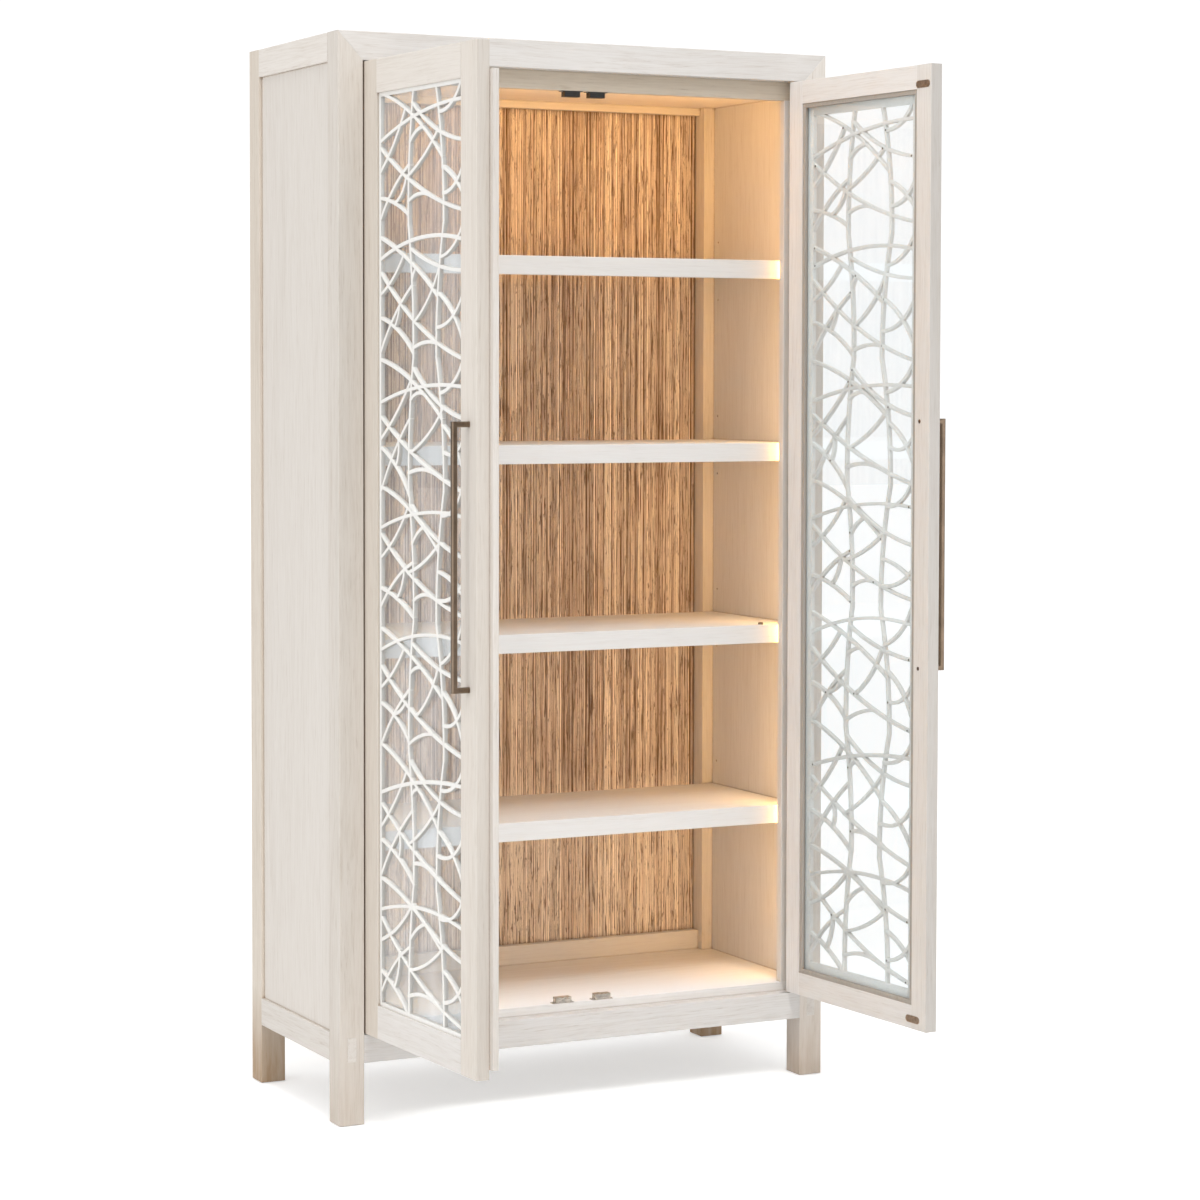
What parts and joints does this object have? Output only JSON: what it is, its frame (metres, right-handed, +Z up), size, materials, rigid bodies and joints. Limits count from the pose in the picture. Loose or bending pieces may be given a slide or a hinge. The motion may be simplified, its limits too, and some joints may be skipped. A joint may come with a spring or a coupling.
{
  "type": "display cabinet",
  "caption": "Tall two-door glazed display cabinet with curved-branch lattice doors, open shelves and a reed back.",
  "frame": {"origin": "middle of the whole outline on the floor, with the doors standing open as stored", "axes": "+Z up, doors face -Y, +X to the right seen from the front"},
  "size_m": [1.1024, 0.9756, 2.134],
  "materials": {
    "back_board": "raw plywood",
    "catch": "black",
    "catch_nickel": "nickel",
    "diffuser": "opal",
    "glass": "clear float glass",
    "glide": "nylon",
    "handle": "antique bronze, brushed edges",
    "lattice": "white lacquer",
    "light_channel": "anodised",
    "oak_frame": "white-washed oak, open grain",
    "oak_inside": "pale painted oak, satin",
    "oak_panel": "white-washed oak veneer panel",
    "pin": "zinc",
    "reed": "natural split reed",
    "shelf_board": "pale painted oak, satin",
    "strike": "dark bronze",
    "switch": "dark"
  },
  "bodies": {
    "cabinet": {"front_post_left": "oak_frame", "rear_post_left": "oak_frame", "side_rail_top_left": "oak_frame", "side_rail_bottom_left": "oak_frame", "side_panel_left": "oak_panel", "stop_stile_left": "oak_frame", "light_strip_left": "light_channel", "front_post_right": "oak_frame", "rear_post_right": "oak_frame", "side_rail_top_right": "oak_frame", "side_rail_bottom_right": "oak_frame", "side_panel_right": "oak_panel", "stop_stile_right": "oak_frame", "light_strip_right": "light_channel", "front_rail_top": "oak_frame", "front_rail_bottom": "oak_frame", "top_stop_rail": "oak_frame", "rear_rail_top": "oak_inside", "rear_rail_bottom": "oak_inside", "ceiling_board": "oak_inside", "bottom_board": "oak_inside", "top_panel": "oak_panel", "back_board": "back_board", "reed_panel": "reed", "shelf_1": "shelf_board", "shelf_2": "shelf_board", "shelf_3": "shelf_board", "shelf_4": "shelf_board", "shelf_pins": "pin", "light_diffusers": "diffuser", "touch_switch": "switch", "top_catches": "catch", "bottom_catches": "catch_nickel", "catch_screws": "pin", "foot_glides": "glide", "pivot_sockets": "pin", "back_board_screws": "pin"},
    "left_door": {"left_door_hinge_stile": "oak_frame", "left_door_free_stile": "oak_frame", "left_door_top_rail": "oak_frame", "left_door_bottom_rail": "oak_frame", "left_door_lattice": "lattice", "left_door_glass": "glass", "left_door_glazing_beads": "oak_frame", "left_door_handle": "handle", "left_door_handle_screws": "strike", "left_door_strike_plates": "strike", "left_door_pivot_pins": "pin", "left_door_astragal": "oak_frame"},
    "right_door": {"right_door_hinge_stile": "oak_frame", "right_door_free_stile": "oak_frame", "right_door_top_rail": "oak_frame", "right_door_bottom_rail": "oak_frame", "right_door_lattice": "lattice", "right_door_glass": "glass", "right_door_glazing_beads": "oak_frame", "right_door_handle": "handle", "right_door_handle_screws": "strike", "right_door_strike_plates": "strike", "right_door_pivot_pins": "pin"}
  },
  "joints": [
    {"name": "left_door_hinge", "type": "hinge", "parent": "cabinet", "child": "left_door", "pos_m": [-0.4917, 0.00678, 0.18], "axis": [0, 0, -1], "range_deg": [-87.5, 22.5]},
    {"name": "right_door_hinge", "type": "hinge", "parent": "cabinet", "child": "right_door", "pos_m": [0.4793, 0.00678, 0.18], "axis": [0, 0, 1], "range_deg": [-94, 16]}
  ]
}
